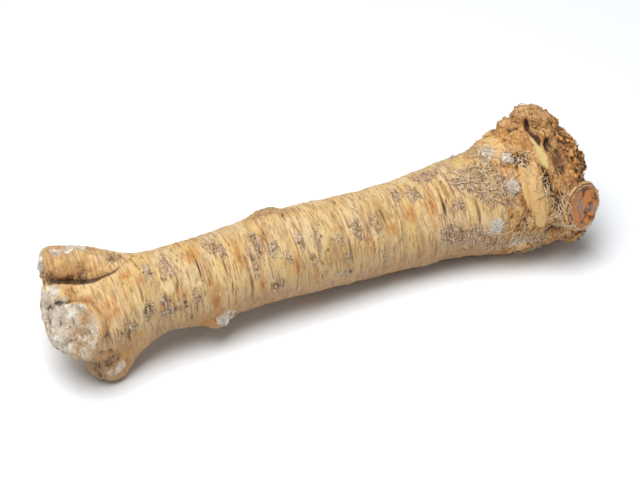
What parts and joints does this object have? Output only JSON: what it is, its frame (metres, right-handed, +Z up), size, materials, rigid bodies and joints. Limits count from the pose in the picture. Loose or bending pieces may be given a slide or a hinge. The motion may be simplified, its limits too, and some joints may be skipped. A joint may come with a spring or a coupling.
{
  "type": "horseradish root",
  "caption": "Whole forked horseradish root lying on its side, pale ringed skin, trimmed crown at one end and cut forks at the other.",
  "frame": {"origin": "middle of the bounding box, on the surface that the root lies on", "axes": "+X along the root from its forked lower end to its crown, +Z up"},
  "size_m": [0.2944, 0.0768, 0.0728],
  "materials": {
    "root_skin": "matt, corky, with rough brown scars and a fibrous crown"
  },
  "bodies": {
    "root": {"horseradish_root": "root_skin"}
  },
  "joints": []
}
